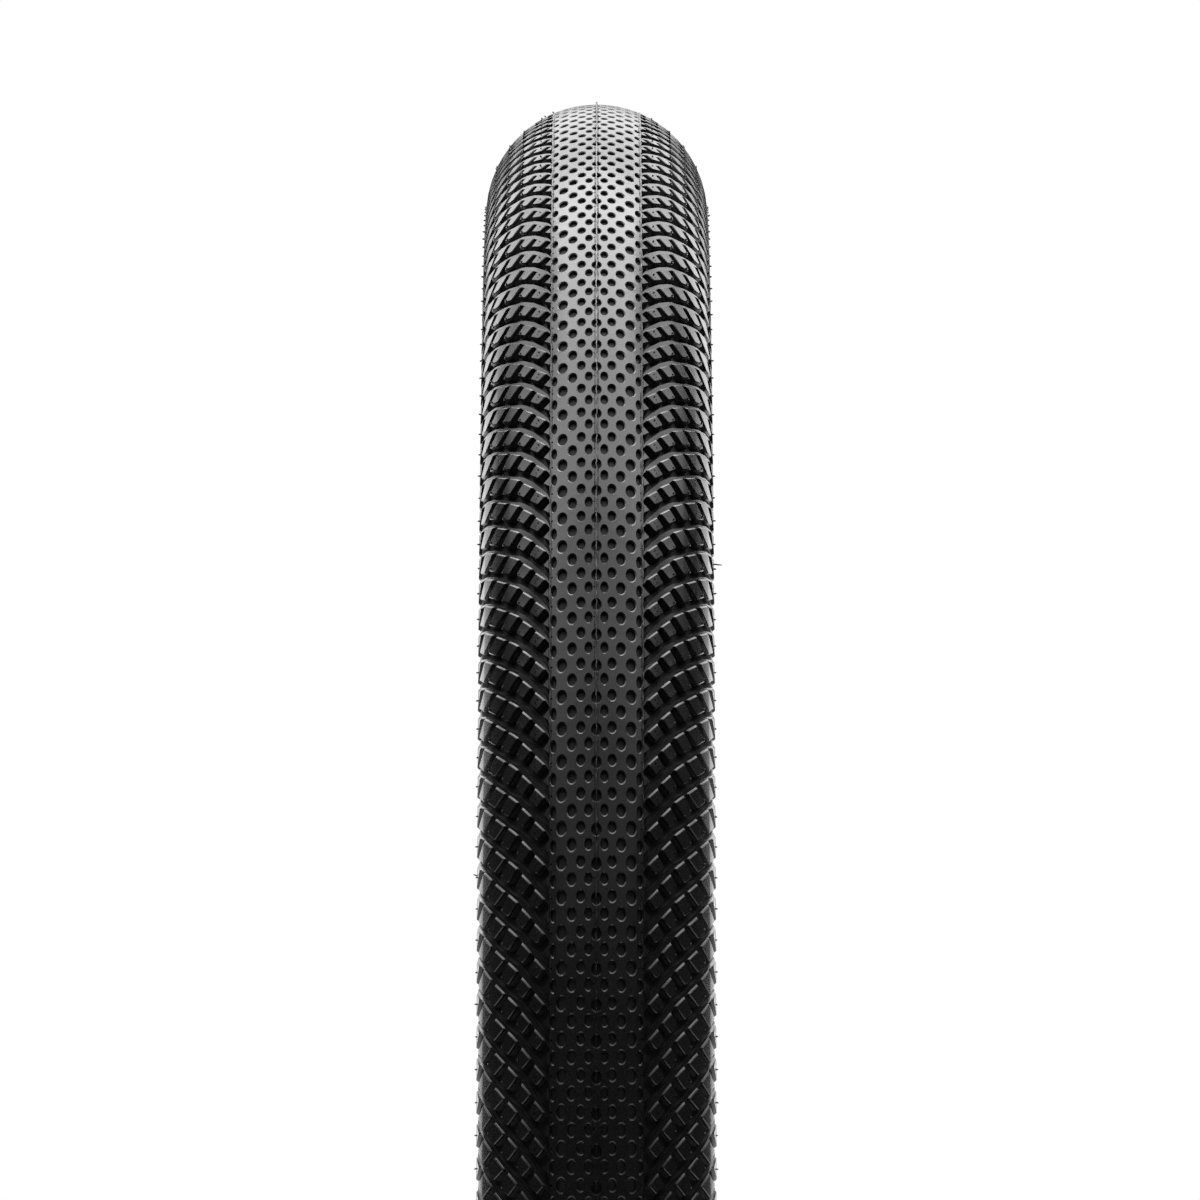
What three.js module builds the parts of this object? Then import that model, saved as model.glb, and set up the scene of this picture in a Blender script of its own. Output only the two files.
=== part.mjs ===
// A knobbly bicycle tire, ISO 47-406 (20 x 1.75 inch), unmounted, built up from the layers of a real one.
// Units are millimetres. The tire stands upright: its centre is the origin and it turns about +Y.
// Every piece is a ring, so each is drawn as a closed cross-section and turned about the Y axis.
// A cross-section point is a Vector2 of (radius from the axle, distance along the axle).
import * as THREE from "three";

// Driving dimensions
const OUTER_DIAMETER = 491.6; // over the crown of the tread
const SECTION_WIDTH = 47; // over the shoulders of the tread
const BEAD_SEAT_DIAMETER = 406; // where the beads sit on the rim
const FACETS = 48; // around the tire; a multiple of 4 puts flats on +X, -X, +Z and -Z

// Layer thicknesses, counted outwards from the cavity wall
const PLY = 0.7;
const GAP = 0.2; // clearance between neighbouring layers
const BREAKER = 0.7;
const CHAFER = 0.9;
const CORE_RADIUS = 1.45; // of the bundle of bead wires

// Angles round the section, in degrees from the crown
const PARTING_ANGLE = 22.9; // the moulding lines beside the dimpled centre band
const BREAKER_ANGLE = 42;
const TREAD_EDGE_ANGLE = 98;
const TURN_UP_ANGLE = 112.5; // where the folded-back edge of the inner ply ends
const CHAFER_ANGLE = 124;
const OUTER_PLY_ANGLE = 137;
const BEAD_ANGLE = 145; // where the inner ply meets the bead core
const PLY_STATIONS = [22.5, 45, 67.5, 90, 112.5, 130];

// Worked out from the driving dimensions
const CROWN_RADIUS = OUTER_DIAMETER / 2;
const TREAD_RADIUS = SECTION_WIDTH / 2; // of the round tread section
const TREAD_CENTRE = CROWN_RADIUS - TREAD_RADIUS;
const SEAT_RADIUS = BEAD_SEAT_DIAMETER / 2;
const CAVITY_HALF_WIDTH = TREAD_RADIUS - 4.7;
const CAVITY_CENTRE = TREAD_CENTRE - 0.9;
const CAVITY_DROP = CAVITY_CENTRE - SEAT_RADIUS - 2.6; // from the widest place towards the beads

const INNER_PLY = [0, PLY];
const OUTER_PLY = [PLY + GAP, 2 * PLY + GAP];
const OVER_PLIES = OUTER_PLY[1] + GAP; // first free place outside both plies
const TURN_UP = [OVER_PLIES, OVER_PLIES + PLY];
const OVER_TURN_UP = TURN_UP[1] + GAP;
const OVER_BREAKER = OVER_PLIES + BREAKER + GAP;

const radians = THREE.MathUtils.degToRad;
const point = (radius, axial) => new THREE.Vector2(radius, axial);

// A point of the casing: an angle from the crown, and a distance outwards from the cavity wall.
// The wall is round above its widest place and slightly flattened below it.
function layer(degrees, offset) {
  const angle = radians(degrees);
  const height = degrees < 90 ? CAVITY_HALF_WIDTH : CAVITY_DROP;
  const outwards = point(Math.cos(angle) / height, Math.sin(angle) / CAVITY_HALF_WIDTH).normalize();
  return point(CAVITY_CENTRE + height * Math.cos(angle), CAVITY_HALF_WIDTH * Math.sin(angle))
    .addScaledVector(outwards, offset);
}

// A point on the outside of the tread.
function treadFace(degrees) {
  const angle = radians(degrees);
  return point(TREAD_CENTRE + TREAD_RADIUS * Math.cos(angle), TREAD_RADIUS * Math.sin(angle));
}

const layers = (angles, offset) => angles.map((degrees) => layer(degrees, offset));
const mirrored = (profile) => profile.map((p) => point(p.x, -p.y)).reverse();

// The inner ply folds round the bead core on this circle.
const FOLD_RADIUS = CORE_RADIUS + 0.25 + PLY;
const BEAD_CENTRE = layer(BEAD_ANGLE, FOLD_RADIUS);
const FOLD_DIRECTIONS = [-30.5, -85, -140, -195, -239]; // from the cavity side, under the core, to the outside

// A point beside the bead core: a direction from +radius towards +axial, and a distance.
function byBead(degrees, distance) {
  const angle = radians(degrees);
  return point(BEAD_CENTRE.x + distance * Math.cos(angle), BEAD_CENTRE.y + distance * Math.sin(angle));
}
const fold = (distance) => FOLD_DIRECTIONS.map((degrees) => byBead(degrees, distance));

// Cross-sections. Those of one-sided pieces are on the +Y side.
function treadCentre() {
  const edge = PARTING_ANGLE - 0.25;
  const outside = [-1, -2 / 3, -1 / 3, 0, 1 / 3, 2 / 3, 1].map((share) => treadFace(share * edge));
  const inside = layers([22.2, 0, -22.2], OVER_BREAKER);
  return [...outside, ...inside];
}

function treadShoulder() {
  const outside = [PARTING_ANGLE + 0.25, 38, 53, 68, 83, 95].map(treadFace);
  const step = BREAKER_ANGLE + 1.5;
  return [
    ...outside,
    ...layers([TREAD_EDGE_ANGLE, 90, 67.5, step], OVER_PLIES),
    ...layers([step, 22.8], OVER_BREAKER),
  ];
}

function breaker() {
  const angles = [-BREAKER_ANGLE, -22.5, 0, 22.5, BREAKER_ANGLE];
  return [...layers(angles, OVER_PLIES + BREAKER), ...layers(angles, OVER_PLIES).reverse()];
}

function outerPly() {
  const angles = [...PLY_STATIONS, OUTER_PLY_ANGLE];
  const [inside, outside] = OUTER_PLY;
  const half = [...layers(angles, outside), ...layers(angles, inside).reverse()];
  return [layer(0, outside), ...half, layer(0, inside), ...mirrored(half)];
}

// Down the cavity side, round the bead core, up to the folded edge, and back along the other face.
function innerPly() {
  const foldedEdge = [CHAFER_ANGLE, TURN_UP_ANGLE];
  const cavityFace = [...layers(PLY_STATIONS, INNER_PLY[0]), ...fold(FOLD_RADIUS)];
  const hiddenFace = [...layers(PLY_STATIONS, INNER_PLY[1]), ...fold(FOLD_RADIUS - PLY)];
  const half = [
    ...hiddenFace,
    ...layers(foldedEdge, TURN_UP[0]),
    ...layers(foldedEdge, TURN_UP[1]).reverse(),
    ...cavityFace.reverse(),
  ];
  return [layer(0, INNER_PLY[1]), ...half, layer(0, INNER_PLY[0]), ...mirrored(half)];
}

function sidewall() {
  const top = TREAD_EDGE_ANGLE + 0.6;
  const step = TURN_UP_ANGLE - 1;
  return [
    layer(top, 3),
    layer(TURN_UP_ANGLE, 3.3),
    layer(CHAFER_ANGLE, 3.6),
    layer(CHAFER_ANGLE, OVER_TURN_UP),
    layer(step, OVER_TURN_UP),
    layer(step, OVER_PLIES),
    layer(top, OVER_PLIES),
  ];
}

// The fabric-reinforced strip that squares off the bead: its seat is a cylinder, its rim side a plane.
function chafer() {
  const top = CHAFER_ANGLE + 0.6;
  const heel = BEAD_CENTRE.y + 3.6;
  const toe = BEAD_CENTRE.y - 3.25;
  return [
    layer(top, OVER_TURN_UP + CHAFER),
    point(SEAT_RADIUS + 2.8, heel),
    point(SEAT_RADIUS + 0.8, heel),
    point(SEAT_RADIUS, heel - 0.8),
    point(SEAT_RADIUS, toe + 0.8),
    point(SEAT_RADIUS + 0.8, toe),
    point(BEAD_CENTRE.x + 0.3, toe),
    ...layers([BEAD_ANGLE, 138], -0.7),
    layer(138, -GAP),
    ...fold(FOLD_RADIUS + GAP),
    layer(top, OVER_TURN_UP),
  ];
}

// The rubber wedge above the bead core, between the plies and the folded edge.
function filler() {
  const foldedTop = layer(CHAFER_ANGLE, TURN_UP[0]);
  const foldedFoot = byBead(FOLD_DIRECTIONS.at(-1), FOLD_RADIUS - PLY);
  const along = foldedFoot.clone().sub(foldedTop).normalize();
  const beside = point(-along.y, along.x).multiplyScalar(GAP);
  const nearFold = (share) => foldedTop.clone().lerp(foldedFoot, share).add(beside);
  return [
    nearFold(0.3),
    nearFold(0.75),
    byBead(30, CORE_RADIUS + 0.35),
    layer(OUTER_PLY_ANGLE, OVER_PLIES),
    layer(129, OVER_PLIES),
  ];
}

function beadCore() {
  return [0, 1, 2, 3, 4, 5].map((corner) => byBead(60 * corner, CORE_RADIUS));
}

// Materials, one for each kind of piece
const finish = (color, roughness, metalness = 0) => ({ color, roughness, metalness });
const TREAD_RUBBER = finish(0x0e0e0f, 0.42);
const SIDEWALL_RUBBER = finish(0x131314, 0.55);
const PLY_CORD = finish(0x3a3630, 0.8);
const BREAKER_CORD = finish(0x8a7c5c, 0.8);
const CHAFER_CLOTH = finish(0x1c1b1a, 0.75);
const FILLER_RUBBER = finish(0x151515, 0.7);
const BEAD_STEEL = finish(0xa87f4a, 0.35, 1);

const tire = new THREE.Group();

// Turns a closed cross-section about the Y axis, with a flat of the ring on +Z.
function addRing(name, profile, look) {
  const closed = [...profile, profile[0].clone()];
  const geometry = new THREE.LatheGeometry(closed, FACETS, Math.PI / FACETS);
  const mesh = new THREE.Mesh(geometry, new THREE.MeshStandardMaterial(look));
  mesh.name = name;
  tire.add(mesh);
}

function addPair(name, profile, look) {
  addRing(`${name}_right`, profile, look);
  addRing(`${name}_left`, mirrored(profile), look);
}

addRing("tread_centre", treadCentre(), TREAD_RUBBER);
addPair("tread_shoulder", treadShoulder(), TREAD_RUBBER);
addRing("breaker", breaker(), BREAKER_CORD);
addRing("casing_outer_ply", outerPly(), PLY_CORD);
addRing("casing_inner_ply", innerPly(), PLY_CORD);
addPair("sidewall", sidewall(), SIDEWALL_RUBBER);
addPair("chafer", chafer(), CHAFER_CLOTH);
addPair("bead_filler", filler(), FILLER_RUBBER);
addPair("bead_core", beadCore(), BEAD_STEEL);

export default tire;
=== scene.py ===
"""The looks of a knobbly bicycle tire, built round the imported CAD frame.

The tread is made from one unit cell: its dimples, knobs and grooves are outlines with depths, triangulated
flat and wrapped round the tire once for each pitch. Everything else is a ring turned from a cross-section.
Lengths are in metres in the scene; the cross-sections and cells are worked out in millimetres.
"""

import math
import random

import bpy
import numpy as np
from mathutils import Matrix, Vector
from mathutils.geometry import delaunay_2d_cdt


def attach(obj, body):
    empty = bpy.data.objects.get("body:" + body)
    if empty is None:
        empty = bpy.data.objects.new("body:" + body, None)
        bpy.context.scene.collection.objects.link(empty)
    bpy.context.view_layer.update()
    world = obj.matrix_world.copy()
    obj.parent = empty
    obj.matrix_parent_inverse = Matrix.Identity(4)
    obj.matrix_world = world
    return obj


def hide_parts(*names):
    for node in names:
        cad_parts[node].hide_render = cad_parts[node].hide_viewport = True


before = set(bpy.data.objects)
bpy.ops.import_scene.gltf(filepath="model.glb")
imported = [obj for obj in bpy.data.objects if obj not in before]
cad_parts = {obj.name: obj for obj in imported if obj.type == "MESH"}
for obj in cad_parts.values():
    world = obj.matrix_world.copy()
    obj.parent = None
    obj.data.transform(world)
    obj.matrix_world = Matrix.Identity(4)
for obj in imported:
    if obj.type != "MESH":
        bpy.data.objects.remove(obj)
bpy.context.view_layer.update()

MM = 0.001  # in metres
random.seed(47)

# Driving dimensions, in millimetres
CROWN_RADIUS = 245.8  # outside of the tread
TREAD_RADIUS = 23.5  # of the round tread section
TREAD_CENTRE = CROWN_RADIUS - TREAD_RADIUS
SEAT_RADIUS = 203.0  # where the beads sit on the rim
CAVITY_HALF_WIDTH = 18.8
CAVITY_CENTRE = TREAD_CENTRE - 0.9
CAVITY_DROP = CAVITY_CENTRE - SEAT_RADIUS - 2.6  # from the widest place towards the beads

# Tread pattern
PITCHES = 216  # repeats of the pattern round the tire
PITCH = 2 * math.pi * CROWN_RADIUS / PITCHES
PHASE = 0.39  # pitches the pattern is turned upwards from +X
RING_COLUMNS = 2 * PITCHES  # round a turned ring
PARTING_ANGLE = 22.9  # degrees from the crown to the moulding lines beside the centre band
GROOVE_DEPTH = 1.75
GROOVE_DEPTH_LOSS = 1.3  # between SHALLOWER_FROM and SHALLOWER_FROM + SHALLOWER_OVER degrees
SHALLOWER_FROM, SHALLOWER_OVER = 52, 36
LEDGE_DEPTH = 0.28
BEVEL_DEPTH = 0.15  # of the edges of the knobs
DIMPLE_DEPTH = 0.74
PIT_DEPTH = 0.4
PIT_FLOOR = 0.6  # radius of a pit's floor, as a share of its rim's
SEAM_GAP = 0.3  # from a moulding line to the crease beside it

GAP = 0.2  # clearance between neighbouring layers
# Distances of the layers outwards from the cavity wall, as (inside, outside)
INNER_PLY, OUTER_PLY, TURN_UP, BREAKER_STRIP = (0.0, 0.7), (0.9, 1.6), (1.8, 2.5), (1.8, 2.5)
OVER_PLIES, OVER_TURN_UP, OVER_BREAKER = 1.8, 2.7, 2.7

# Angles round the section, in degrees from the crown
BREAKER_ANGLE = 42
SIDEWALL_ANGLE = 98.6  # where the sidewall begins, just past the tread
TURN_UP_ANGLE = 112.5  # where the folded-back edge of the inner ply ends
CHAFER_ANGLE = 124
INNER_PLY_ANGLE = 130  # where the inner ply leaves the cavity wall for the bead
OUTER_PLY_ANGLE = 137
CHAFER_LIP_ANGLE = 138  # where the chafer ends on the cavity side
BEAD_ANGLE = 145

# Edges stay sharp where faces turn by more than this, in degrees. The tread's is low enough for the bevels
# of its knobs and dimples.
TREAD_SHARP, RING_SHARP, FLASH_SHARP, WIRE_SHARP = 20.0, 30.0, 50.0, 60.0


# ---------------------------------------------------------------- placing points on the tire

def on_tread(degrees, turns, depth):
    """A point of the tread: degrees from the crown, pitches round the tire, and depth below the outside."""
    angle = np.radians(degrees)
    around = 2 * np.pi * (np.asarray(turns) + PHASE) / PITCHES
    section = TREAD_RADIUS - np.asarray(depth)
    radius = TREAD_CENTRE + section * np.cos(angle)
    points = (radius * np.cos(around), section * np.sin(angle), radius * np.sin(around))
    return np.stack(np.broadcast_arrays(*points), axis=-1) * MM


def layer(degrees, offset):
    """A point of the casing's cross-section as (radius, axial): outwards from the cavity wall by offset."""
    angle = math.radians(degrees)
    height = CAVITY_HALF_WIDTH if degrees < 90 else CAVITY_DROP
    outwards = Vector((math.cos(angle) / height, math.sin(angle) / CAVITY_HALF_WIDTH)).normalized()
    wall = Vector((CAVITY_CENTRE + height * math.cos(angle), CAVITY_HALF_WIDTH * math.sin(angle)))
    return wall + outwards * offset


# ---------------------------------------------------------------- meshes

def add_mesh(name, points, faces, sharp_degrees):
    """A smooth-shaded mesh whose edges stay sharp where its faces turn by more than sharp_degrees."""
    mesh = bpy.data.meshes.new(name)
    points = np.asarray(points, np.float32)
    sizes = np.array([len(f) for f in faces], np.int32)
    mesh.vertices.add(len(points))
    mesh.vertices.foreach_set("co", points.ravel())
    mesh.loops.add(int(sizes.sum()))
    mesh.loops.foreach_set("vertex_index", np.concatenate([np.asarray(f, np.int32) for f in faces]))
    mesh.polygons.add(len(faces))
    mesh.polygons.foreach_set("loop_start", np.concatenate([[0], np.cumsum(sizes)[:-1]]).astype(np.int32))
    mesh.update(calc_edges=True)
    mesh.validate()
    mesh.polygons.foreach_set("use_smooth", [True] * len(mesh.polygons))
    mesh.set_sharp_from_angle(angle=math.radians(sharp_degrees))
    piece = bpy.data.objects.new(name, mesh)
    bpy.context.scene.collection.objects.link(piece)
    return piece


def finish_piece(piece, material, node):
    """Gives a piece its material, and the tire's one body and a CAD node to stand for."""
    piece.data.materials.append(material)
    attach(piece, "root")
    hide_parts(node)


def turn(name, profile):
    """A ring: a closed cross-section of (radius, axial) points turned about the Y axis."""
    section = np.array([tuple(p) for p in profile])
    rows, columns = len(section), RING_COLUMNS
    around = 2 * np.pi * (np.arange(columns) + 0.5) / columns
    radius, axial = section[:, 0], section[:, 1]
    points = np.stack([
        np.outer(np.cos(around), radius),
        np.broadcast_to(axial, (columns, rows)),
        np.outer(np.sin(around), radius),
    ], axis=-1).reshape(-1, 3) * MM
    column, row = np.divmod(np.arange(columns * rows), rows)
    following, beside = (column + 1) % columns, (row + 1) % rows
    faces = np.stack([
        column * rows + row, column * rows + beside,
        following * rows + beside, following * rows + row,
    ], axis=-1)
    # The sign of the cross-section's area says which way round it was drawn.
    ahead = np.roll(section, -1, axis=0)
    area = np.sum(section[:, 0] * ahead[:, 1] - ahead[:, 0] * section[:, 1])
    return add_mesh(name, points, faces if area > 0 else faces[:, ::-1], RING_SHARP)


def mirrored(profile):
    return [(radius, -axial) for radius, axial in profile][::-1]


# ---------------------------------------------------------------- outlines on the unrolled tread

def flat(degrees, turns):
    """Unrolled tread coordinates in millimetres: across and round the tire."""
    return Vector((math.radians(degrees) * TREAD_RADIUS, turns * PITCH))


def unflat(point):
    return math.degrees(point.x / TREAD_RADIUS), point.y / PITCH


def pushed(corners, distances):
    """A convex outline with each side moved out by its distance. Side i runs from corner i to the next."""
    count = len(corners)
    middle = sum(corners, Vector((0, 0))) / count
    sides = []
    for i, distance in enumerate(distances):
        start, end = corners[i], corners[(i + 1) % count]
        along = (end - start).normalized()
        out = Vector((along.y, -along.x))
        if out.dot(start - middle) < 0:
            out = -out
        sides.append((start + out * distance, along))
    met = []
    for i in range(count):
        (a, u), (b, v) = sides[i - 1], sides[i]
        met.append(a + u * ((b - a).cross(v) / u.cross(v)))
    return met


def rounded(corners, radius, steps=3):
    """An outline with its corners rounded off: steps points for each corner, in the corners' order."""
    points = []
    for i, corner in enumerate(corners):
        before = (corners[i - 1] - corner).normalized()
        after = (corners[(i + 1) % len(corners)] - corner).normalized()
        start, end = corner + before * radius, corner + after * radius
        for step in range(steps):
            share = step / (steps - 1)
            bend = 2 * share * (1 - share)
            points.append(start * (1 - share) ** 2 + corner * bend + end * share ** 2)
    return points


class Cell:
    """One repeat of the pattern: points with depths, joined by lines, triangulated on the unrolled tread."""

    def __init__(self):
        self.points, self.depths, self.lines = [], [], []

    def add(self, point, depth):
        self.points.append(point)
        self.depths.append(depth)
        return len(self.points) - 1

    def line(self, points, depths):
        ids = [self.add(p, d) for p, d in zip(points, depths)]
        self.join(ids)
        return ids

    def join(self, ids):
        self.lines += list(zip(ids, ids[1:]))

    def ring(self, points, depths):
        ids = self.line(points, depths)
        self.join([ids[-1], ids[0]])
        return ids

    def pit(self, middle, radius, sides=6):
        """A small round hole, as left by a broken-off vent. Its floor is a little smaller than its rim."""
        turn_by = [2 * math.pi * i / sides for i in range(sides)]
        spokes = [Vector((math.cos(a), math.sin(a))) for a in turn_by]
        self.ring([middle + s * radius for s in spokes], [0] * sides)
        self.ring([middle + s * radius * PIT_FLOOR for s in spokes], [PIT_DEPTH] * sides)

    def triangles(self):
        flat_points, _, faces, origins, _, _ = delaunay_2d_cdt(self.points, self.lines, [], 1, 1e-6)
        if any(not ids for ids in origins):
            lost = [unflat(p) for p, ids in zip(flat_points, origins) if not ids]
            raise ValueError(f"outlines cross at {lost}")
        first = [ids[0] for ids in origins]
        return [[first[i] for i in face] for face in faces]


def wrap(cell, low, high, near, far, inner):
    """Repeats a cell round the tire and closes it underneath.

    low and high are the ids along the two borders that neighbouring cells share, near and far those along
    the two sides from low to high. inner is the cross-section of the underside, from near side to far side.
    """
    triangles = cell.triangles()
    twin = dict(zip(high, low))
    own = [i for i in range(len(cell.points)) if i not in twin]
    local = {point: i for i, point in enumerate(own)}
    places = np.array([unflat(cell.points[i]) for i in own])
    depths = np.array([cell.depths[i] for i in own])
    turns = places[None, :, 1] + np.arange(PITCHES)[:, None]
    outer = on_tread(places[None, :, 0], turns, depths[None, :]).reshape(-1, 3)

    def index(point, copy):
        if point in twin:
            return (copy + 1) % PITCHES * len(own) + local[twin[point]]
        return copy % PITCHES * len(own) + local[point]

    # The underside has one column for each cell, in line with the cell's corner on either side.
    starts = [unflat(cell.points[side[0]])[1] for side in (near, far)]
    shift = round(starts[1] - starts[0])
    rows = len(inner)
    column_turns = np.linspace(starts[0], starts[1] - shift, rows)
    around = 2 * np.pi * (column_turns[None, :] + np.arange(PITCHES)[:, None] + PHASE) / PITCHES
    section = np.array([tuple(p) for p in inner])
    under = np.stack([
        section[:, 0] * np.cos(around),
        np.broadcast_to(section[:, 1], around.shape),
        section[:, 0] * np.sin(around),
    ], axis=-1).reshape(-1, 3) * MM
    base = len(outer)

    def beneath(row, copy):
        return base + copy % PITCHES * rows + row

    faces = []
    for copy in range(PITCHES):
        faces += [[index(i, copy) for i in t] for t in triangles]
        for row in range(rows - 1):
            faces.append([beneath(row, copy), beneath(row, copy + 1),
                          beneath(row + 1, copy + 1), beneath(row + 1, copy)])
        for side, row, column in ((near, 0, copy), (far, rows - 1, copy + shift)):
            wall = [[index(a, copy), index(b, copy), beneath(row, column)] for a, b in zip(side, side[1:])]
            wall.append([index(side[-1], copy), beneath(row, column + 1), beneath(row, column)])
            faces += wall if side is near else [f[::-1] for f in wall]
    return np.concatenate([outer, under]), faces


# ---------------------------------------------------------------- the tread

def floor_depth(degrees):
    return GROOVE_DEPTH - GROOVE_DEPTH_LOSS * min(max((degrees - SHALLOWER_FROM) / SHALLOWER_OVER, 0), 1)


def ledge_depth(degrees):
    return min(LEDGE_DEPTH, floor_depth(degrees) / 2)


# Each dimple is three rings: share of the full size, depth, and shift up the tire in millimetres.
# The second ring makes the bevel that catches the light at a dimple's lower edge.
DIMPLE_RINGS = ((1.14, 0, 0), (0.93, 0.17, 0.06), (0.78, DIMPLE_DEPTH, 0.12))
DIMPLE_CORNERS = 12
# Pits of the centre band: degrees from the crown, pitches round, and radius
PITS = ((-22.0, 0.5, 0.24), (22.0, 0.52, 0.18), (-1.25, 0.02, 0.17))
BAND_STATIONS = 21  # points across the centre band on the border between two cells

# Dimples of the centre band: degrees from the crown, pitches round, width and length in millimetres
DIMPLES = [(0.0, 0.42, 1.9, 2.7)]
for degrees, turns, width, length in [
    (3.8, 0.0, 1.5, 2.6), (7.5, 0.5, 1.7, 2.6), (11.9, 0.0, 1.85, 2.85),
    (16.95, 0.5, 2.05, 3.1), (21.1, 0.0, 1.25, 2.8),
]:
    DIMPLES += [(degrees, turns, width, length), (-degrees, turns, width, length)]


def centre_cell():
    cell = Cell()
    stations = np.linspace(-PARTING_ANGLE, PARTING_ANGLE, BAND_STATIONS)
    low = cell.line([flat(a, -0.25) for a in stations], [0] * BAND_STATIONS)
    high = cell.line([flat(a, 0.75) for a in stations], [0] * BAND_STATIONS)
    near, far = [low[0], high[0]], [low[-1], high[-1]]
    cell.join(near)
    cell.join(far)
    corner_turns = [2 * math.pi * (i + 0.5) / DIMPLE_CORNERS for i in range(DIMPLE_CORNERS)]
    for degrees, turns, width, length in DIMPLES:
        middle = flat(degrees, turns)
        for share, depth, shift in DIMPLE_RINGS:
            outline = []
            for corner in corner_turns:
                across = width / 2 * share * math.cos(corner)
                outline.append(middle + Vector((across, length / 2 * share * math.sin(corner) + shift)))
            cell.ring(outline, [depth] * DIMPLE_CORNERS)
    for degrees, turns, radius in PITS:
        cell.pit(flat(degrees, turns), radius)
    return cell, low, high, near, far


# Knobs of one diagonal row: the left, top, right and bottom corner of each in degrees and pitches
KNOBS = [
    [(25.6, 0.515), (30.8, 0.846), (34.6, 0.551), (29.8, 0.275)],
    [(33.0, 1.036), (38.3, 1.367), (42.6, 1.073), (38.1, 0.78)],
    [(41.0, 1.58), (47.2, 1.9), (53.5, 1.52), (47.4, 1.25)],
    [(50.0, 2.02), (57.2, 2.375), (66.0, 2.11), (58.3, 1.742)],
    [(61.0, 2.565), (70.0, 2.98), (80.0, 2.66), (71.5, 2.27)],
    [(76.5, 3.2), (85.0, 3.55), (95.0, 3.2), (87.5, 2.85)],
]
# How far the sides of a knob's top stand in from its outline, and those of its foot out, in millimetres.
# The sides run upper left, upper right, lower right, lower left.
TOP_SHIFTS = [-0.26, -0.14, -0.14, -0.14]
FOOT_SHIFTS = [0.12, 0.25, 0.25, 0.25]
TOP_ROUNDING, EDGE_ROUNDING, FOOT_ROUNDING = 0.3, 0.36, 0.42
# The tooth beside the centre band, and the line of its foot
TOOTH = [(22.9, -0.19), (26.4, 0.0), (22.9, 0.21)]
TOOTH_FOOT = [(23.35, -0.25), (27.0, 0.0), (23.35, 0.27)]
# The outer line of the ledge that runs along the upper side of each row
LEDGE = [
    (23.35, 0.39), (25.0, 0.61), (27.6, 0.83), (30.8, 1.08), (33.0, 1.26), (38.3, 1.59), (41.0, 1.73),
    (44.0, 1.84), (47.2, 1.98), (50.0, 2.13), (57.2, 2.48), (61.0, 2.67), (70.0, 3.05), (76.5, 3.27),
    (85.0, 3.61), (97.0, 3.85),
]
LEDGE_START = (23.35, 0.31)  # where the ledge meets the wall of the centre band
LEDGE_WALL = 0.055  # pitches from the ledge's outer line to the foot of its wall
FLOOR_END, LEDGE_END = (97.0, 3.70), (97.0, 3.76)  # at the tread's edge, beside the ledge and on it
KNOB_PIT, KNOB_PIT_RADIUS = (30.6, 0.5), 0.17  # in the first knob of a row
# Halfway between one row and the next
BORDER = [
    (22.9, 0.57), (23.35, 0.57), (26.4, 0.87), (29.8, 1.14), (34.6, 1.45), (38.1, 1.665), (42.6, 1.93),
    (44.0, 1.97), (47.4, 2.10), (50.0, 2.235), (53.5, 2.39), (58.3, 2.64), (61.0, 2.77), (66.0, 3.0),
    (71.5, 3.2), (80.0, 3.55), (87.0, 3.78), (95.0, 4.0), (97.0, 4.05),
]


def shoulder_cell():
    cell = Cell()

    def chain(places, depth):
        depths = [depth(a) if callable(depth) else depth for a, _ in places]
        return cell.line([flat(*p) for p in places], depths)

    high = chain(BORDER[:1], 0) + chain(BORDER[1:], floor_depth)
    low_places = [(a, t - 1) for a, t in BORDER]
    low = chain(low_places[:1], 0) + chain(low_places[1:], floor_depth)
    for side in (low, high):
        cell.join(side[:2])  # down the wall of the centre band

    # The tooth beside the centre band, whose top runs into it, and the foot of the band's wall
    tooth = chain(TOOTH, 0)
    near = [low[0], tooth[0], tooth[2], high[0]]
    cell.join(near)
    foot = chain(TOOTH_FOOT, floor_depth)
    cell.join([low[1], foot[0]])
    inner_start = chain([LEDGE_START], ledge_depth)
    ledge = chain(LEDGE, ledge_depth)
    beside_ledge = chain([(a, t + LEDGE_WALL) for a, t in LEDGE], floor_depth)
    cell.join([foot[2], inner_start[0], ledge[0], beside_ledge[0], high[1]])

    ledge_from, floor_from = inner_start[0], foot[2]
    for knob in KNOBS:
        corners = [flat(*p) for p in knob]
        top = rounded(pushed(corners, TOP_SHIFTS), TOP_ROUNDING)
        edge = rounded(corners, EDGE_ROUNDING)
        base = rounded(pushed(corners, FOOT_SHIFTS), FOOT_ROUNDING)
        cell.ring(top, [0] * len(top))
        if knob is KNOBS[0]:
            cell.pit(flat(*KNOB_PIT), KNOB_PIT_RADIUS)
        cell.ring(edge, [BEVEL_DEPTH] * len(edge))
        base_depths = [floor_depth(unflat(p)[0]) for p in base]
        for i in (1, 2, 3, 4):  # the points on the side that faces the ledge
            base_depths[i] = ledge_depth(unflat(base[i])[0])
        ring = cell.ring(base, base_depths)
        cell.join([ledge_from, ring[1]])
        cell.join([floor_from, ring[0]])
        ledge_from, floor_from = ring[4], ring[5]
    ends = chain([FLOOR_END], floor_depth) + chain([LEDGE_END], ledge_depth)
    cell.join([floor_from, ends[0]])
    cell.join([ledge_from, ends[1]])
    far = [low[-1], ends[0], ends[1], ledge[-1], beside_ledge[-1], high[-1]]
    cell.join(far)
    return cell, low, high, near, far


def mirror_mesh(points, faces):
    return points * np.array([1, -1, 1]), [face[::-1] for face in faces]


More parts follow.
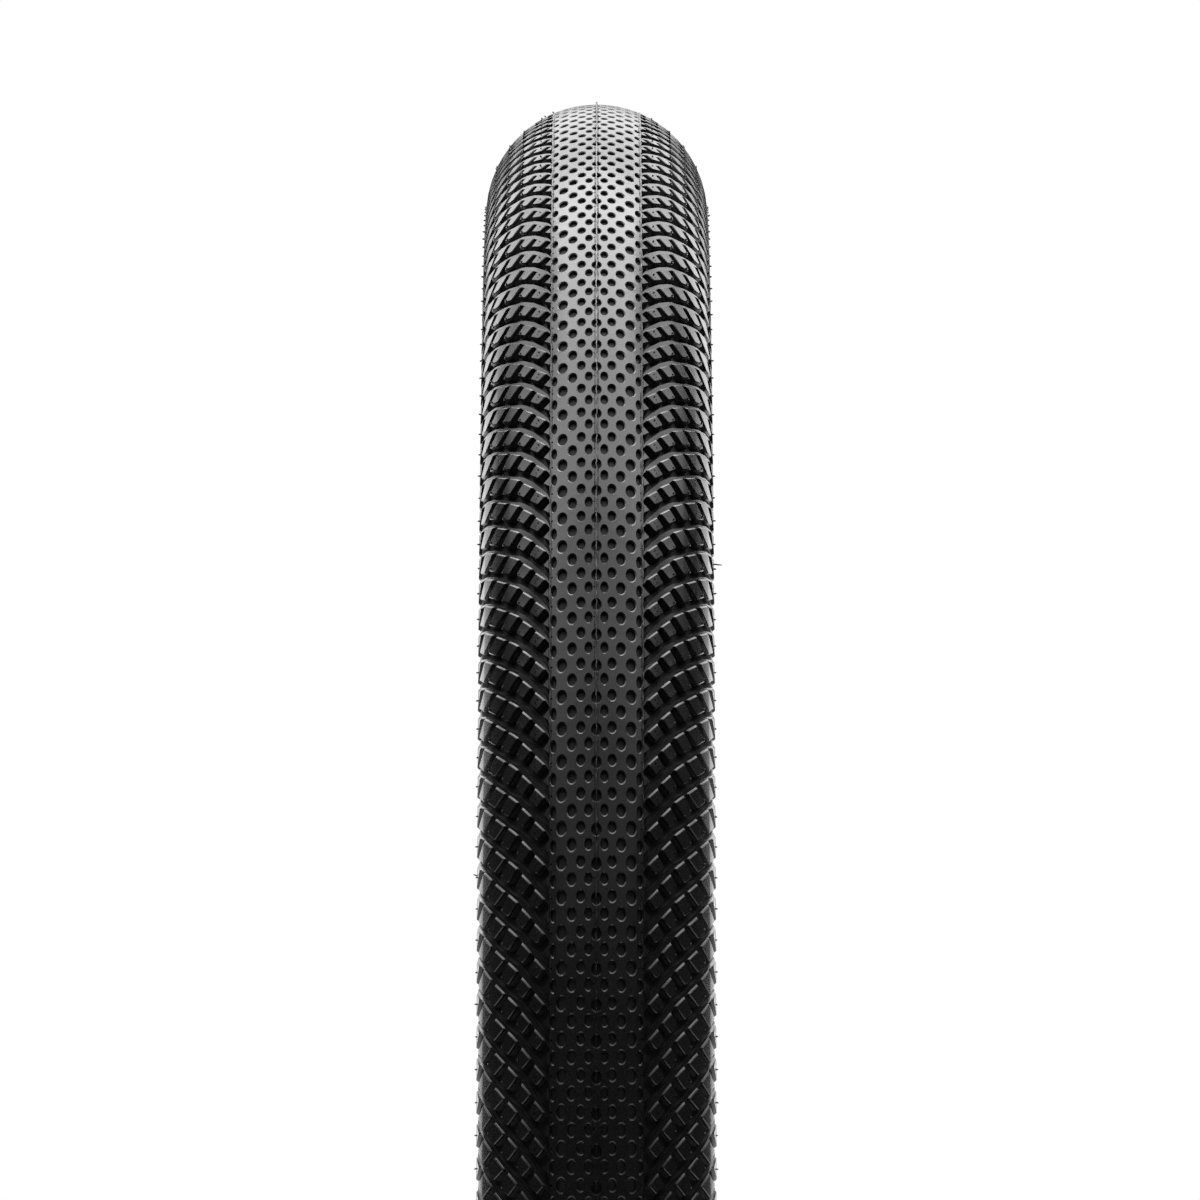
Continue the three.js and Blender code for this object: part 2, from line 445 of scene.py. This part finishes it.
# The undersides lie on the breaker, and past its edge on the plies
past_breaker = BREAKER_ANGLE + 1.5
centre_under = [layer(a, OVER_BREAKER) for a in np.linspace(-22.2, 22.2, 7)]
shoulder_under = [layer(a, OVER_BREAKER) for a in (22.9, 30, 36.5, past_breaker)]
shoulder_under += [layer(a, OVER_PLIES) for a in (past_breaker, 52, 60, 67.5, 75, 82.5, 90, 98)]
centre_mesh = wrap(*centre_cell(), centre_under)
right_mesh = wrap(*shoulder_cell(), shoulder_under)
left_mesh = mirror_mesh(*right_mesh)


# ---------------------------------------------------------------- materials

def nodes_of(name):
    """A new material, its node tree and its Principled shader."""
    material = bpy.data.materials.new(name)
    material.use_nodes = True
    tree = material.node_tree
    shader = next(n for n in tree.nodes if n.type == "BSDF_PRINCIPLED")
    return material, tree, shader


def math_node(tree, operation, *inputs):
    node = tree.nodes.new("ShaderNodeMath")
    node.operation = operation
    for socket, value in zip(node.inputs, inputs):
        if isinstance(value, (int, float)):
            socket.default_value = value
        else:
            tree.links.new(value, socket)
    return node.outputs[0]


def hypotenuse(tree, a, b):
    squares = math_node(tree, "MULTIPLY", a, a), math_node(tree, "MULTIPLY", b, b)
    return math_node(tree, "SQRT", math_node(tree, "ADD", *squares))


def tire_places(tree, place):
    """Object coordinates as millimetres round the tire, across it from the crown, and below the tread."""
    split = tree.nodes.new("ShaderNodeSeparateXYZ")
    tree.links.new(place, split.inputs[0])
    x, y, z = split.outputs
    around = math_node(tree, "MULTIPLY", math_node(tree, "ARCTAN2", z, x), TREAD_CENTRE)
    out = math_node(tree, "SUBTRACT", hypotenuse(tree, x, z), TREAD_CENTRE * MM)
    across = math_node(tree, "MULTIPLY", math_node(tree, "ARCTAN2", y, out), TREAD_RADIUS)
    section = math_node(tree, "DIVIDE", hypotenuse(tree, out, y), MM)
    return around, across, math_node(tree, "SUBTRACT", TREAD_RADIUS, section)


def noise(tree, place, scale, detail=3.0, roughness=0.5):
    node = tree.nodes.new("ShaderNodeTexNoise")
    node.inputs["Scale"].default_value = scale
    node.inputs["Detail"].default_value = detail
    node.inputs["Roughness"].default_value = roughness
    tree.links.new(place, node.inputs["Vector"])
    return node.outputs["Fac"]


def ramp(tree, factor, *stops):
    """Colours (or greys) at places from 0 to 1."""
    node = tree.nodes.new("ShaderNodeValToRGB")
    elements = node.color_ramp.elements
    while len(elements) < len(stops):
        elements.new(0.5)
    for element, (place, value) in zip(elements, stops):
        element.position = place
        element.color = (*value, 1) if isinstance(value, tuple) else (value, value, value, 1)
    tree.links.new(factor, node.inputs[0])
    return node.outputs[0]


def bump(tree, height, distance, strength=1.0, before=None):
    node = tree.nodes.new("ShaderNodeBump")
    node.inputs["Strength"].default_value = strength
    node.inputs["Distance"].default_value = distance
    tree.links.new(height, node.inputs["Height"])
    if before is not None:
        tree.links.new(before, node.inputs["Normal"])
    return node.outputs["Normal"]


def mixed(tree, a, share_of_a, b, share_of_b):
    """The sum of two node outputs, each multiplied by its share."""
    weighed = math_node(tree, "MULTIPLY", a, share_of_a), math_node(tree, "MULTIPLY", b, share_of_b)
    return math_node(tree, "ADD", *weighed)


def rubber(name, dark, light, smooth, rough, grain=0.000004, dull_below=None):
    """Moulded rubber: a fine grain, and a bloom that dulls it in patches.

    dull_below makes it the tread's: duller from about that depth in millimetres, and coloured lighter there
    as painted light on the floors of dimples and grooves, with creases at the seams.
    """
    material, tree, shader = nodes_of(name)
    place = tree.nodes.new("ShaderNodeTexCoord").outputs["Object"]
    patches = noise(tree, place, 45.0, 5.0, 0.6)
    fine = noise(tree, place, 2600.0, 2.0, 0.5)
    shade = mixed(tree, patches, 0.5, fine, 0.5)
    gloss = mixed(tree, patches, 0.6, fine, 0.4)
    if dull_below is not None:
        _, across, depth = tire_places(tree, place)
        recess_light_and_dull = ramp(tree, math_node(tree, "DIVIDE", depth, 2 * dull_below), (0.4, 0.0), (0.6, 1.0))
        # Painted light: deeper surfaces are coloured lighter, standing in for light that reaches the floors
        # of dimples and grooves.
        shade = math_node(tree, "MULTIPLY_ADD", recess_light_and_dull, 0.5, shade)
        seam = seams(tree, place, across)
        dull = math_node(tree, "MAXIMUM", recess_light_and_dull, seam)
        gloss = mixed(tree, gloss, 0.5, dull, 0.5)
        roughness = ramp(tree, gloss, (0.15, smooth), (0.35, rough), (0.7, 0.8))
    else:
        roughness = ramp(tree, gloss, (0.3, smooth), (0.7, rough))
    tree.links.new(roughness, shader.inputs["Roughness"])
    tree.links.new(ramp(tree, shade, (0.3, dark), (0.9, light)), shader.inputs["Base Color"])
    normal = bump(tree, noise(tree, place, 420.0, 3.0), 0.000018, 0.5)
    if dull_below is not None:
        normal = bump(tree, math_node(tree, "SUBTRACT", 1.0, seam), 0.00007, 1.0, normal)
    tree.links.new(bump(tree, fine, grain, 0.7, normal), shader.inputs["Normal"])
    return material


def seams(tree, place, across):
    """Fine dark creases beside each moulding line: 0.8 in the middle of a crease and 0 away from it."""
    away = math_node(tree, "ABSOLUTE", across)
    parting = math.radians(PARTING_ANGLE) * TREAD_RADIUS
    nearest = None
    for line in (SEAM_GAP, parting - SEAM_GAP, parting + SEAM_GAP):
        gap = math_node(tree, "ABSOLUTE", math_node(tree, "SUBTRACT", away, line))
        nearest = gap if nearest is None else math_node(tree, "MINIMUM", nearest, gap)
    wander = math_node(tree, "MULTIPLY", noise(tree, place, 500.0, 3.0), 0.36)
    return ramp(tree, math_node(tree, "ADD", nearest, wander), (0.18, 0.8), (0.27, 0.0))


def corded(name, dark, light, spacing, angles, roughness, depth, waviness=0.25):
    """Rubbered cords: ribs that are spacing millimetres apart, at each of the angles to the way round."""
    material, tree, shader = nodes_of(name)
    place = tree.nodes.new("ShaderNodeTexCoord").outputs["Object"]
    around, across, _ = tire_places(tree, place)
    wander = math_node(tree, "MULTIPLY", noise(tree, place, 180.0, 2.0), waviness)
    ribs = None
    for degrees in angles:
        cosine, sine = math.cos(math.radians(degrees)), math.sin(math.radians(degrees))
        along = mixed(tree, around, sine, across, cosine)
        phase = math_node(tree, "MULTIPLY", math_node(tree, "ADD", along, wander), 2 * math.pi / spacing)
        rib = math_node(tree, "MULTIPLY_ADD", math_node(tree, "SINE", phase), 0.5, 0.5)
        ribs = rib if ribs is None else math_node(tree, "MAXIMUM", ribs, rib)
    patches = noise(tree, place, 60.0, 4.0, 0.6)
    shade = math_node(tree, "MULTIPLY_ADD", ribs, 0.5, math_node(tree, "MULTIPLY", patches, 0.5))
    tree.links.new(ramp(tree, shade, (0.2, dark), (0.8, light)), shader.inputs["Base Color"])
    rough = ramp(tree, patches, (0.3, roughness), (0.7, min(roughness + 0.2, 1)))
    tree.links.new(rough, shader.inputs["Roughness"])
    grain = bump(tree, noise(tree, place, 1800.0, 2.0), 0.00003, 0.5)
    tree.links.new(bump(tree, ribs, depth, 1.0, grain), shader.inputs["Normal"])
    return material


def plated_wire():
    material, tree, shader = nodes_of("bead wire")
    place = tree.nodes.new("ShaderNodeTexCoord").outputs["Object"]
    stain = noise(tree, place, 90.0, 5.0, 0.6)
    scratches = noise(tree, place, 1500.0, 2.0)
    bronze = ramp(tree, stain, (0.3, (0.42, 0.27, 0.13)), (0.7, (0.66, 0.47, 0.26)))
    tree.links.new(bronze, shader.inputs["Base Color"])
    tree.links.new(ramp(tree, scratches, (0.3, 0.28), (0.7, 0.48)), shader.inputs["Roughness"])
    shader.inputs["Metallic"].default_value = 1.0
    tree.links.new(bump(tree, scratches, 0.00001, 0.6), shader.inputs["Normal"])
    return material


# The tread's deeper surfaces get painted light, a lighter colour, from about 0.65 mm down.
TREAD = rubber("tread rubber", 0.008, 0.016, 0.2, 0.32, dull_below=0.65)
WALL = corded("sidewall rubber", 0.014, 0.022, 0.9, (45,), 0.5, 0.00003, 0.3)
PLY = corded("ply cord", (0.045, 0.041, 0.034), (0.11, 0.1, 0.082), 0.8, (45,), 0.65, 0.00012)
BREAKER = corded("breaker cord", (0.2, 0.15, 0.08), (0.42, 0.34, 0.2), 1.0, (0, 90), 0.7, 0.0001, 0.15)
CHAFER = corded(
    "chafer cloth", (0.016, 0.016, 0.015), (0.04, 0.039, 0.037), 0.9, (45, -45), 0.6, 0.00008, 0.15)
FILLER = rubber("filler rubber", 0.014, 0.022, 0.5, 0.75, 0.00004)
STEEL = plated_wire()


# ---------------------------------------------------------------- the pieces

for name, mesh, node in (
    ("tread_centre_band", centre_mesh, "tread_centre"),
    ("right_shoulder_knobs", right_mesh, "tread_shoulder_right"),
    ("left_shoulder_knobs", left_mesh, "tread_shoulder_left"),
):
    finish_piece(add_mesh(name, *mesh, TREAD_SHARP), TREAD, node)


FLASH_LEAN = 0.3  # degrees that the crest of the flash strays to either side
CREST_WIDTH = 0.6  # of the flash's width at its foot


def fin(name, degrees, half_width, bottom, crest, waver, steps=10):
    """A thin ring of moulding flash from the bottom depth to the crest, which goes up and down by waver."""
    columns = PITCHES * steps
    turns = np.arange(columns) / steps
    rise = np.array([random.uniform(-1, 1) for _ in range(columns)])
    rise = (rise + np.roll(rise, 1)) / 2
    lean = np.array([random.uniform(-1, 1) for _ in range(columns)]) * FLASH_LEAN
    half = math.degrees(half_width / TREAD_RADIUS)
    top = crest - rise * waver
    rows = [
        on_tread(degrees - half, turns, bottom),
        on_tread(degrees + half, turns, bottom),
        on_tread(degrees + half * CREST_WIDTH + lean, turns, top),
        on_tread(degrees - half * CREST_WIDTH + lean, turns, top),
    ]
    points = np.stack(rows, axis=1).reshape(-1, 3)
    faces = []
    for column in range(columns):
        here, there = column * 4, (column + 1) % columns * 4
        faces += [[here + i, here + (i + 1) % 4, there + (i + 1) % 4, there + i] for i in range(4)]
    return add_mesh(name, points, [f[::-1] for f in faces], FLASH_SHARP)


centre_flash = fin("centre_flash", 0, half_width=0.15, bottom=1.0, crest=-0.3, waver=0.22)
finish_piece(centre_flash, TREAD, "tread_centre")
for side, degrees in (("right", PARTING_ANGLE), ("left", -PARTING_ANGLE)):
    flash = fin(side + "_flash", degrees, half_width=0.12, bottom=0.5, crest=-0.1, waver=0.16)
    finish_piece(flash, TREAD, "tread_shoulder_" + side)


# Foot, neck and tip of a stub: shares of its radius and of its height
PEG_RINGS = ((1.15, 0), (1.0, 0.6), (0.6, 1.0))


def pegs(name, places, sides=6):
    """Stubs of vent rubber. Each place is degrees, pitches, depth of the foot, height, radius and lean."""
    points, faces = [], []
    for degrees, turns, foot, height, radius, lean in places:
        base = len(points)
        for share, level in PEG_RINGS:
            for i in range(sides):
                angle = 2 * math.pi * i / sides
                across = radius * share * math.cos(angle) + lean[0] * level
                round_ = radius * share * math.sin(angle) + lean[1] * level
                place = degrees + math.degrees(across / TREAD_RADIUS), turns + round_ / PITCH
                points.append(on_tread(*place, foot - height * level))
        for ring in (0, 1):
            for i in range(sides):
                a, b = base + ring * sides + i, base + ring * sides + (i + 1) % sides
                faces.append([a, b, b + sides, a + sides])
        faces.append([base + 2 * sides + i for i in range(sides)])
        faces.append([base + i for i in range(sides)][::-1])
    return add_mesh(name, np.array(points), faces, FLASH_SHARP)


# The vents of one row, on the knobs: degrees from the crown, pitches round, and radius
VENTS = ((29.6, 0.6, 0.17), (40.8, 1.05, 0.2), (51.4, 1.5, 0.21), (64.0, 2.12, 0.18))
OUTERMOST_VENT = (86.0, 3.2, 0.18)
VENT_FOOT = 0.08  # depth at which a stub starts


def vent_places(sign):
    places = []
    for pitch in range(PITCHES):
        for degrees, turns, radius in VENTS:
            height = random.uniform(0.2, 0.4)
            places.append((sign * degrees, pitch + turns, VENT_FOOT, height, radius, (0, 0)))
        degrees, turns, radius = OUTERMOST_VENT
        height = random.uniform(0.3, 0.55)
        sway = (random.uniform(-0.1, 0.1), random.uniform(-0.2, 0.1))
        places.append((sign * degrees, pitch + turns, VENT_FOOT, height, radius, sway))
    return places


for side, sign in (("right", 1), ("left", -1)):
    nubs = pegs(side + "_vent_nubs", vent_places(sign))
    finish_piece(nubs, TREAD, "tread_shoulder_" + side)

# The few vents that were left long
STRAYS = [
    (87.0, 22.44, 0.1, 1.7, 0.15, (0, -0.35)), (0.0, 50.6, 0, 0.6, 0.15, (0, 0)),
    (-22.9, 50.3, 0, 0.45, 0.14, (-0.1, 0)), (-27.5, 50.2, 0, 0.4, 0.14, (-0.1, 0.1)),
    (-88.0, 11.3, 0.1, 0.8, 0.14, (0, 0.3)), (24.5, 96.2, 0, 0.7, 0.14, (0.2, 0.2)),
    (88.0, 141.0, 0.1, 0.9, 0.14, (0, 0.2)), (-30.0, 171.6, 0, 0.6, 0.14, (0, 0.2)),
]
finish_piece(pegs("stray_vents", STRAYS), TREAD, "tread_centre")


# ---------------------------------------------------------------- cross-sections of the turned rings
# Those of one-sided pieces are on the right.

def arc(centre, start, end, distance, steps):
    turns = np.radians(np.linspace(start, end, steps))
    return [(centre[0] + distance * math.cos(a), centre[1] + distance * math.sin(a)) for a in turns]


def layers(start, end, offset, steps):
    return [tuple(layer(a, offset)) for a in np.linspace(start, end, steps)]


CORE_RADIUS = 1.45
FOLD_RADIUS = CORE_RADIUS + 0.95  # of the inner ply's cavity face where it folds round the core
FOLD_FROM, FOLD_TO = -30.5, -239  # degrees round the core, from the cavity side to the outside
FOLD_STEPS = 15
BEAD = layer(BEAD_ANGLE, FOLD_RADIUS)
# The outside of the sidewall, outwards from the cavity wall: at the tread, and how much further by how many
# degrees lower
WALL_OFFSET, WALL_RISE, WALL_RISE_OVER = 3.0, 0.3, 12.7
RIB_LIMIT = 3.9  # the furthest out that a rib or line reaches
# Rib and rim lines of the sidewall: degrees from the crown, half-width in degrees, and height
RIBS = ((102.2, 1.0, 0.35), (117.5, 0.8, 0.3), (119.8, 0.8, 0.3), (122.1, 0.8, 0.3))
CHAFER_OFFSET = 3.6  # of the chafer's upper edge, outwards from the cavity wall
CHAFER_LIP = 0.7  # how far the chafer stands into the cavity beside the bead core
HEEL, TOE = 3.6, 3.25  # from the middle of the bead core to the chafer's outer and inner side


def fold(distance):
    return arc(BEAD, FOLD_FROM, FOLD_TO, distance, FOLD_STEPS)


def sidewall_profile():
    """From the tread's edge to the chafer, with a rib under the tread and three fine rim lines."""
    outside = []
    for degrees in np.linspace(SIDEWALL_ANGLE, CHAFER_ANGLE, 41):
        offset = WALL_OFFSET + WALL_RISE * (degrees - SIDEWALL_ANGLE) / WALL_RISE_OVER
        for middle, half, height in RIBS:
            offset += height * max(0, 1 - ((degrees - middle) / half) ** 2)
        outside.append(tuple(layer(degrees, min(offset, RIB_LIMIT))))
    step = TURN_UP_ANGLE - 1
    inside = layers(CHAFER_ANGLE, step, OVER_TURN_UP, 4) + layers(step, SIDEWALL_ANGLE, OVER_PLIES, 4)
    return outside + inside


def chafer_profile():
    """Down to the flat rim side, under the bead along its seat, and back up against the plies."""
    heel, toe = BEAD.y + HEEL, BEAD.y - TOE
    top = CHAFER_ANGLE + 0.6  # just below the sidewall
    outer = [
        tuple(layer(top, CHAFER_OFFSET)), (SEAT_RADIUS + 3.6, heel + 0.35), (SEAT_RADIUS + 2.4, heel),
        (SEAT_RADIUS + 0.9, heel), (SEAT_RADIUS + 0.25, heel - 0.2), (SEAT_RADIUS, heel - 0.8),
        (SEAT_RADIUS, toe + 0.8), (SEAT_RADIUS + 0.2, toe + 0.25), (SEAT_RADIUS + 0.8, toe),
        (BEAD.x + 0.3, toe),
    ]
    back = layers(BEAD_ANGLE, CHAFER_LIP_ANGLE, -CHAFER_LIP, 3) + [tuple(layer(CHAFER_LIP_ANGLE, -GAP))]
    return outer + back + fold(FOLD_RADIUS + GAP) + [tuple(layer(top, OVER_TURN_UP))]


def half_inner_ply():
    """From the crown round the bead core and back up outside as the folded edge."""
    inside, outside = INNER_PLY
    cavity = layers(0, INNER_PLY_ANGLE, inside, 27) + fold(FOLD_RADIUS)
    hidden = layers(0, INNER_PLY_ANGLE, outside, 27) + fold(FOLD_RADIUS - outside)
    folded = layers(CHAFER_ANGLE, TURN_UP_ANGLE, TURN_UP[0], 4)
    folded += layers(TURN_UP_ANGLE, CHAFER_ANGLE, TURN_UP[1], 4)
    return hidden + folded + cavity[::-1]


def half_strip(edge, faces, steps):
    """Half of a layer that runs across the crown from edge to edge, both in degrees."""
    inside, outside = faces
    return layers(0, edge, outside, steps) + layers(edge, 0, inside, steps)


def both_sides(half):
    """A cross-section from its right half, which starts and ends on the centre line."""
    return half + [(radius, -axial) for radius, axial in half[-2:0:-1]]


def filler_profile():
    """A wedge between the plies and the folded edge, clear of both."""
    top = layer(CHAFER_ANGLE, TURN_UP[0])
    foot = Vector(arc(BEAD, FOLD_TO, FOLD_TO, FOLD_RADIUS - INNER_PLY[1], 1)[0])
    along = (foot - top).normalized()
    beside = Vector((-along.y, along.x)) * GAP
    near_fold = [tuple(top.lerp(foot, share) + beside) for share in (0.3, 0.75)]
    over_core = arc(BEAD, 30, 30, CORE_RADIUS + 0.35, 1)
    return near_fold + over_core + [tuple(layer(OUTER_PLY_ANGLE, OVER_PLIES)), tuple(layer(129, OVER_PLIES))]


def pair(name, profile, material, node):
    finish_piece(turn("right_" + name, profile), material, node + "_right")
    finish_piece(turn("left_" + name, mirrored(profile)), material, node + "_left")


pair("sidewall", sidewall_profile(), WALL, "sidewall")
pair("chafer", chafer_profile(), CHAFER, "chafer")
pair("bead_filler", filler_profile(), FILLER, "bead_filler")
finish_piece(turn("inner_ply", both_sides(half_inner_ply())), PLY, "casing_inner_ply")
outer_half = half_strip(OUTER_PLY_ANGLE, OUTER_PLY, 28)
finish_piece(turn("outer_ply", both_sides(outer_half)), PLY, "casing_outer_ply")
breaker_half = half_strip(BREAKER_ANGLE, BREAKER_STRIP, 11)
finish_piece(turn("breaker_strip", both_sides(breaker_half)), BREAKER, "breaker")


WIRE_RADIUS = 0.46
WIRE_LAY = 24  # times that the outer wires wind round the middle one on the way round the tire


def wire_bundle(name, sign, sides=8):
    """A bead core: seven turns of wire, six of them wound round the middle one."""
    columns = RING_COLUMNS
    points, faces = [], []
    for strand in range(7):
        base = len(points)
        for column in range(columns):
            angle = 2 * math.pi * column / columns
            twist = 2 * math.pi * strand / 6 + WIRE_LAY * angle
            reach = 0 if strand == 6 else 2 * WIRE_RADIUS
            radius, axial = BEAD.x + reach * math.cos(twist), BEAD.y + reach * math.sin(twist)
            for side in range(sides):
                a = 2 * math.pi * side / sides
                r, y = radius + WIRE_RADIUS * math.cos(a), axial + WIRE_RADIUS * math.sin(a)
                points.append((r * math.cos(angle) * MM, sign * y * MM, r * math.sin(angle) * MM))
        for column in range(columns):
            here, there = base + column * sides, base + (column + 1) % columns * sides
            for side in range(sides):
                beside = (side + 1) % sides
                face = [here + side, here + beside, there + beside, there + side]
                faces.append(face if sign > 0 else face[::-1])
    return add_mesh(name, np.array(points), faces, WIRE_SHARP)


for side, sign in (("right", 1), ("left", -1)):
    finish_piece(wire_bundle(side + "_bead_core", sign), STEEL, "bead_core_" + side)


# ---------------------------------------------------------------- floor, light and camera

FLOOR_RADIUS, FLOOR_CORNERS = 0.6, 96  # the radius in metres
FLOOR_CLEARANCE = 0.0006  # metres below the crown, for the flash and the vents


def add_floor():
    """A round pale floor under the tire."""
    paint, _, shader = nodes_of("floor")
    shader.inputs["Base Color"].default_value = (0.86, 0.86, 0.86, 1)
    shader.inputs["Roughness"].default_value = 0.8
    ground = -CROWN_RADIUS * MM - FLOOR_CLEARANCE
    turns = [2 * math.pi * i / FLOOR_CORNERS for i in range(FLOOR_CORNERS)]
    edge = [(FLOOR_RADIUS * math.cos(a), FLOOR_RADIUS * math.sin(a), ground) for a in turns]
    mesh = bpy.data.meshes.new("floor")
    mesh.from_pydata(edge, [], [tuple(range(FLOOR_CORNERS))])
    mesh.materials.append(paint)
    floor = bpy.data.objects.new("floor", mesh)
    bpy.context.scene.collection.objects.link(floor)


def add_world():
    """White where the camera sees it, and almost dark as a light."""
    world = bpy.data.worlds.new("studio")
    bpy.context.scene.world = world
    world.use_nodes = True
    nodes, links = world.node_tree.nodes, world.node_tree.links
    nodes.clear()
    seen = nodes.new("ShaderNodeLightPath").outputs["Is Camera Ray"]
    white, dim = nodes.new("ShaderNodeBackground"), nodes.new("ShaderNodeBackground")
    white.inputs["Color"].default_value = (1, 1, 1, 1)
    dim.inputs["Color"].default_value = (0.04, 0.04, 0.042, 1)
    either = nodes.new("ShaderNodeMixShader")
    links.new(seen, either.inputs[0])
    links.new(dim.outputs[0], either.inputs[1])
    links.new(white.outputs[0], either.inputs[2])
    links.new(either.outputs[0], nodes.new("ShaderNodeOutputWorld").inputs[0])


def softbox(name, place, target, width, height, radiance):
    """A rectangular lamp aimed at target. Its radiance is the brightness of its face, where 1 is white."""
    light = bpy.data.lights.new(name, "AREA")
    light.shape = "RECTANGLE"
    light.size, light.size_y, light.energy = width, height, radiance * math.pi * width * height
    lamp = bpy.data.objects.new(name, light)
    lamp.location = place
    # The lamp's own X, its width, stays level and square to the line from the tire to the lamp.
    facing = (Vector(place) - Vector(target)).normalized()
    level = Vector((0, 1, 0)) if abs(facing.y) < 0.5 else Vector((-facing.y, facing.x, 0)).normalized()
    up = facing.cross(level)
    lamp.rotation_euler = Matrix((level, up, facing)).transposed().to_euler()
    lamp.visible_camera = False
    bpy.context.scene.collection.objects.link(lamp)


add_floor()
add_world()
LAMP_HEIGHT = 1.6
# The overhead light is brightest just behind the tire and fades towards the camera: each lamp's ends
# along X, its width along Y, and its radiance.
for name, start, end, width, radiance in (
    ("overhead_back", -1.35, -0.15, 1.1, 6.2), ("overhead_middle", -0.15, 0.45, 2.4, 3.8),
    ("overhead_front", 0.45, 1.15, 3.0, 1.45), ("overhead_far", 1.15, 2.4, 3.0, 0.4),
):
    middle = (start + end) / 2
    softbox(name, (middle, 0, LAMP_HEIGHT), (middle, 0, 0), width, end - start, radiance)
softbox("high_back", (-1.9, 0, 1.3), (0, 0, 0.1), width=1.2, height=1.0, radiance=2.4)
for side, sign in (("right", 1), ("left", -1)):
    above, below = (-0.75, sign * 1.4, LAMP_HEIGHT), (-0.75, sign * 1.4, 0)
    softbox(side + "_overhead", above, below, width=1.7, height=1.2, radiance=1.8)
    softbox(side + "_strip", (-1.3, sign * 0.71, 0.45), (0, 0, 0.2), width=0.62, height=2.2, radiance=2.5)

CAMERA_DISTANCE = 10.353  # crown radii from the axle
CAMERA_SIDE = 0.0007  # metres to the right of the tire's middle plane
CAMERA_PITCH = math.radians(3.156)  # upwards
camera_data = bpy.data.cameras.new("camera")
camera_data.sensor_width = 36
camera_data.lens = 356.5
camera_data.clip_start, camera_data.clip_end = 0.05, 50
camera = bpy.data.objects.new("camera", camera_data)
camera.location = (CAMERA_DISTANCE * CROWN_RADIUS * MM, CAMERA_SIDE, 0)
sight = Vector((-math.cos(CAMERA_PITCH), 0, math.sin(CAMERA_PITCH)))
camera.rotation_euler = sight.to_track_quat("-Z", "Y").to_euler()
bpy.context.scene.collection.objects.link(camera)
bpy.context.scene.camera = camera
bpy.context.scene.view_settings.view_transform = "Standard"
